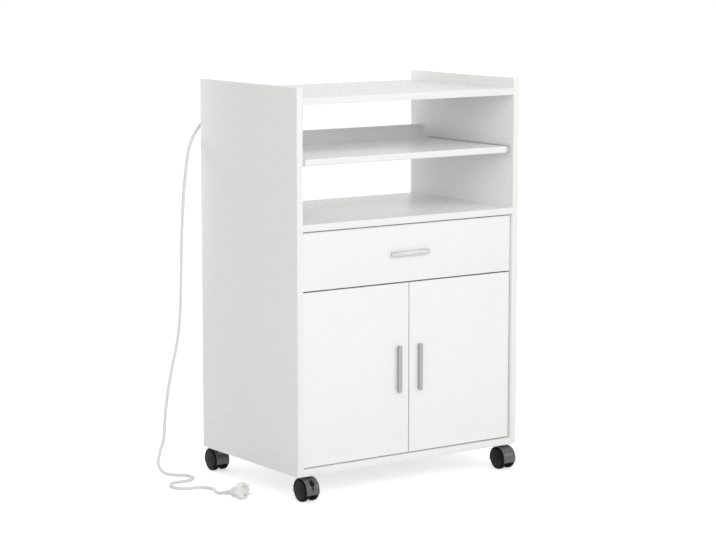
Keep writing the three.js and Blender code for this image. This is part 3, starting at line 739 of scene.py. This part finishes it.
def roundedCase(node, frontLip):
    bm = bmesh.new()
    low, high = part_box(node)
    addBlock(bm, low, high)
    along = [e for e in bm.edges if abs(e.verts[0].co.x - e.verts[1].co.x) > close]
    bevelEdges(bm, along, strip["corner"], strip["cornerSegments"])
    for x, lip, segments in ((high.x, frontLip, strip["lipSegments"]), (low.x, strip["seam"], 1)):
        rim = [e for e in bm.edges if all(abs(v.co.x - x) < close for v in e.verts)]
        bevelEdges(bm, rim, lip, segments)
    return bm, low, high


def addClip(bm, root, side):
    # side is 1 on the socket's rear side and -1 on its front side
    half, thick = strip["clipHalf"], strip["clipThick"]
    start, end, rise = strip["bead"]
    for first, last, inward in ((-strip["clipRoot"], strip["clipLength"], 0), (start, end, rise)):
        addBlock(bm, root + Vector((first, -thick / 2 - side * inward, -half)),
                 root + Vector((last, thick / 2 - side * inward, half)), strip["clipEdge"])


def addStrip():
    bm, low, high = roundedCase("socket_strip_base", strip["seam"])
    finishPiece(bm, "strip_back", "cart", ["mouldedAbs"], ["socket_strip_base"])
    bm, low, high = roundedCase("socket_strip_cover", strip["lip"])
    middle = (low + high) / 2
    face, out = high.x, Vector((1, 0, 0))
    centres = [Vector((face, middle.y + k * strip["pitch"], middle.z)) for k in (-1, 0, 1)]
    wells, holes, shutters, clips = (bmesh.new() for _ in range(4))
    for centre in centres:
        addTurned(wells, strip["well"], strip["wellSteps"], pointing(out, centre))
        floor = centre - out * strip["depth"]
        for way in (-1, 1):
            at = floor + Vector((0, 0, way * strip["contactUp"]))
            addTurned(holes, strip["hole"], strip["holeSteps"], pointing(out, at))
            addTurned(shutters, strip["shutter"], strip["shutterSteps"], pointing(out, at))
            addClip(clips, floor + Vector((0, way * strip["clipOut"], 0)), way)
    carve(bm, wells)
    carve(bm, holes)
    finishPiece(bm, "strip_cover", "cart", ["mouldedAbs"],
                ["socket_strip_cover"])
    # the shutters' dark grey is painted shade in the contact holes
    finishPiece(shutters, "strip_shutters", "cart", ["shutterPaintedShade"])
    finishPiece(clips, "strip_earth_clips", "cart", ["platedPin"])
    bm = bmesh.new()
    for first, second in zip(centres, centres[1:]):
        at = (first + second) / 2 - out * strip["screwSink"]
        addScrewHead(bm, pointing(out, at), strip["screw"], strip["screwRise"])
    finishPiece(bm, "strip_screws", "cart", ["zincSheet"])
    bm = bmesh.new()
    low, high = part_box("socket_strip_gland")
    root = Vector(((low.x + high.x) / 2, low.y, (low.z + high.z) / 2))
    addTurned(bm, strip["gland"], strip["glandSteps"], pointing(Vector((0, 1, 0)), root))
    finishPiece(bm, "strip_gland", "cart", ["mouldedAbs"],
                ["socket_strip_gland"])


addStrip()
print("socket strip made")

# Lead and plug

lead = dict(
    radius=0.0035, roundness=5, smoothness=10,  # Blender's resolutions across and along the curve
    rest=0.0038,  # height of the sheath's centre where it lies on the floor
    # the route in millimetres: down behind the left side, then in flat folds on the floor
    hanging=[
        (-266, 151.8, 831), (-266, 166.5, 831), (-267, 192.5, 825), (-271, 214.5, 808),
        (-282, 225.5, 785), (-297, 226.5, 765), (-309, 225.5, 742), (-317, 224.5, 711),
        (-324, 223.5, 668), (-330, 222.5, 612), (-335, 222.5, 526), (-338, 222.5, 426),
        (-342, 222.5, 351), (-351, 222.5, 291), (-365, 222.5, 235), (-377, 222.5, 175),
        (-384, 222.5, 122), (-388, 222.5, 78), (-398, 224, 46), (-405, 217, 21.5),
        (-400.5, 199, 6.5),
    ],
    lying=[
        (-386.5, 180.5), (-366.5, 159), (-365, 136.5), (-376.5, 119), (-393.5, 112), (-411, 113.5),
        (-431, 111), (-446, 96.5), (-450, 78.5), (-443.5, 60.5), (-429.5, 49.5), (-408.5, 46),
        (-397.5, 40.5), (-388, 26.5), (-386.5, 9), (-394, -8),
    ],
)
plug = dict(
    start=(-0.392, -0.0405, 0.0070033),  # where the relief begins
    turn=-75, lean=13,  # degrees, from +X to the pins' direction, and up to the disc
    before=0.017, gap=0.0006,  # the lead's last two points, this far before the relief
    # (distance from the start, radius)
    relief=[(0, 0), (0, 0.0040), (0.0006, 0.0044), (0.0028, 0.0044), (0.0033, 0.0039),
            (0.0052, 0.0041), (0.0057, 0.0047), (0.0078, 0.0049), (0.0083, 0.0043),
            (0.0102, 0.0045), (0.0107, 0.0052), (0.0128, 0.0054), (0.0133, 0.0048),
            (0.0152, 0.0050), (0.0157, 0.0057), (0.0178, 0.0059), (0.0183, 0.0053),
            (0.0202, 0.0056), (0.0207, 0.0062), (0.0254, 0.0065), (0.0257, 0.0063), (0.0257, 0)],
    body=[(0.026, 0), (0.026, 0.0068), (0.0266, 0.0078), (0.0278, 0.0102), (0.0292, 0.0113),
          (0.0315, 0.0115), (0.035, 0.0114), (0.0385, 0.0105), (0.042, 0.0091), (0.0435, 0.0091),
          (0.0452, 0.0106), (0.0464, 0.0145), (0.0472, 0.0171), (0.0482, 0.0181), (0.0492, 0.0185),
          (0.0586, 0.0185), (0.0594, 0.0182), (0.06, 0.0174), (0.06, 0)],
    pin=[(0.0603, 0), (0.0603, 0.0024), (0.0768, 0.0024), (0.0781, 0.0021), (0.0788, 0.0015),
         (0.079, 0.0008), (0.079, 0)],
    pinUp=0.0095,  # a pin's distance from the plug's middle
    reliefSteps=36, bodySteps=72, pinSteps=32,
    ribs=14, rib=((0.0285, -0.0007, 0.0095), (0.0395, 0.0007, 0.0116)), ribEdge=0.0004,
    earth=dict(x=(0.0495, 0.0602), out=0.0186, thick=0.0008, half=0.0022, edge=0.0003),
)


def plugPlace():
    turn = Matrix.Rotation(math.radians(plug["turn"]), 4, "Z")
    lean = Matrix.Rotation(math.radians(-plug["lean"]), 4, "Y")
    return Matrix.Translation(plug["start"]) @ turn @ lean


def addPlug():
    place = plugPlace()
    bm = bmesh.new()
    addTurned(bm, plug["relief"], plug["reliefSteps"])
    bm.transform(place)
    relief = finishPiece(bm, "plug_relief", "cart", ["leadPvc"],
                         ["plug_strain_relief"])
    bm = bmesh.new()
    addTurned(bm, plug["body"], plug["bodySteps"])
    for k in range(plug["ribs"]):  # finger ribs round the grip
        rib = addBlock(bm, *plug["rib"], plug["ribEdge"])
        bmesh.ops.rotate(bm, cent=(0, 0, 0), verts=rib,
                         matrix=Matrix.Rotation(math.tau * (k + 0.5) / plug["ribs"], 3, "X"))
    bm.transform(place)
    body = finishPiece(bm, "plug_housing", "cart", ["mouldedAbs"], ["plug_body"])
    bm = bmesh.new()
    earth = plug["earth"]
    for side in (-1, 1):  # earth contacts on the disc's two sides
        y, thick, half = side * earth["out"], earth["thick"], earth["half"]
        addBlock(bm, (earth["x"][0], y - thick / 2, -half), (earth["x"][1], y + thick / 2, half),
                 earth["edge"])
    bm.transform(place)
    contacts = finishPiece(bm, "plug_earth", "cart", ["platedPin"])
    pins = []
    for name, up in (("lower", -1), ("upper", 1)):
        bm = bmesh.new()
        addTurned(bm, plug["pin"], plug["pinSteps"],
                  Matrix.Translation((0, 0, up * plug["pinUp"])))
        bm.transform(place)
        pins.append(finishPiece(bm, "plug_pin_" + name, "cart", ["platedPin"],
                                ["plug_prong_" + name]))
    return [relief, body, contacts] + pins


def addLead(onIt):
    place = plugPlace()
    points = [Vector(p) / 1000 for p in lead["hanging"]]
    points += [Vector((x / 1000, y / 1000, lead["rest"])) for x, y in lead["lying"]]
    before = place @ Vector((-plug["before"], 0, 0))
    before.z = max(before.z, lead["rest"])
    points += [before, place @ Vector((-plug["gap"], 0, 0))]
    curve = bpy.data.curves.new("lead", "CURVE")
    curve.dimensions = "3D"
    curve.bevel_depth = lead["radius"]
    curve.bevel_resolution = lead["roundness"]
    curve.resolution_u = lead["smoothness"]
    curve.use_fill_caps = True
    line = curve.splines.new("BEZIER")
    line.bezier_points.add(len(points) - 1)
    for bend, point in zip(line.bezier_points, points):
        bend.co = point
        bend.handle_left_type = bend.handle_right_type = "AUTO"
    curve.materials.append(looks["leadPvc"])
    sheath = bpy.data.objects.new("lead_sheath", curve)
    bpy.context.scene.collection.objects.link(sheath)
    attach(sheath, "cart")
    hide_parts("power_lead")


addLead(addPlug())
print("lead and plug made")

# Floor, background and light

studio = dict(
    floor="e8e8e8", floorSize=30, fibre=8, floorGloss=(0.85, 0.95),  # metres; fibre in millimetres
    floorGlow=0.55,  # added only where the floor itself is seen, so that it looks white
    world=0.61, sky="ffffff",  # the light from all round; the sky itself is seen as white
    lamps=(
        # name, place, size, watts, colour
        ("main", (-1.2, -3.4, 2.9), 2.6, 46, "ffffff"),  # soft box over the camera's shoulder
        ("low", (-0.4, -4.4, 1.1), 2.2, 20, "ffffff"),  # reaches on to the shelves
        ("side", (2.6, -3.3, 2.0), 1.0, 12, "ffffff"),  # gives the casters and handles a sheen
        ("behind", (-0.1, 4.4, 0.9), 2.4, 56, "ffffff"),  # reaches in through the open back
    ),
    aim=(0, 0, 0.45),
)


def seenItself(tree):
    # 1 for a ray that shows the surface itself: from the camera, off gloss or through glass
    rays = addNode(tree, "LightPath")
    seen = addNode(tree, "Math", {"operation": "MAXIMUM"},
                   {0: rays.outputs["Is Camera Ray"], 1: rays.outputs["Is Glossy Ray"]})
    seen = addNode(tree, "Math", {"operation": "MAXIMUM"},
                   {0: seen.outputs[0], 1: rays.outputs["Is Transmission Ray"]})
    return seen.outputs[0]


def addFloor():
    bm = bmesh.new()
    bmesh.ops.create_grid(bm, x_segments=1, y_segments=1, size=studio["floorSize"])
    floor = linkMesh(bm, "floor")
    bm.free()
    # matt paper sweep: a faint fibre in its gloss
    material = bpy.data.materials.new("paperSweep")
    tree = emptyTree(material)
    place = addNode(tree, "TexCoord").outputs["Object"]
    fibre = addNode(tree, "TexNoise", {"Scale": perMetre(studio["fibre"]), "Detail": 3.0},
                    {"Vector": place}).outputs[0]
    lowGloss, highGloss = studio["floorGloss"]
    gloss = addNode(tree, "MapRange", {"To Min": lowGloss, "To Max": highGloss},
                    {"Value": fibre})
    paper = addNode(tree, "BsdfPrincipled", {"Base Color": linear(studio["floor"])},
                    {"Roughness": gloss.outputs[0]})
    glow = addNode(tree, "Math", {"operation": "MULTIPLY", 1: studio["floorGlow"]},
                   {0: seenItself(tree)})
    light = addNode(tree, "Emission", {"Color": (1, 1, 1, 1)}, {"Strength": glow.outputs[0]})
    both = addNode(tree, "AddShader", {}, {0: paper.outputs[0], 1: light.outputs[0]})
    addNode(tree, "OutputMaterial", {}, {"Surface": both.outputs[0]})
    floor.data.materials.append(material)


def addWorld():
    world = bpy.data.worlds.new("studio")
    bpy.context.scene.world = world
    tree = emptyTree(world)
    level = addNode(tree, "MapRange", {"To Min": studio["world"], "To Max": 1.0},
                    {"Value": seenItself(tree)})
    sky = addNode(tree, "Background", {"Color": linear(studio["sky"])},
                  {"Strength": level.outputs[0]})
    addNode(tree, "OutputWorld", {}, {"Surface": sky.outputs[0]})


def addLamps():
    for name, place, size, power, colour in studio["lamps"]:
        data = bpy.data.lights.new(name, "AREA")
        data.size, data.energy = size, power
        data.color = linear(colour)[:3]
        lamp = bpy.data.objects.new(name, data)
        direction = Vector(studio["aim"]) - Vector(place)
        lamp.matrix_world = (Matrix.Translation(place)
                             @ direction.to_track_quat("-Z", "Y").to_matrix().to_4x4())
        bpy.context.scene.collection.objects.link(lamp)


addFloor()
addWorld()
addLamps()
bpy.context.scene.view_settings.view_transform = "Standard"
print("studio lit")
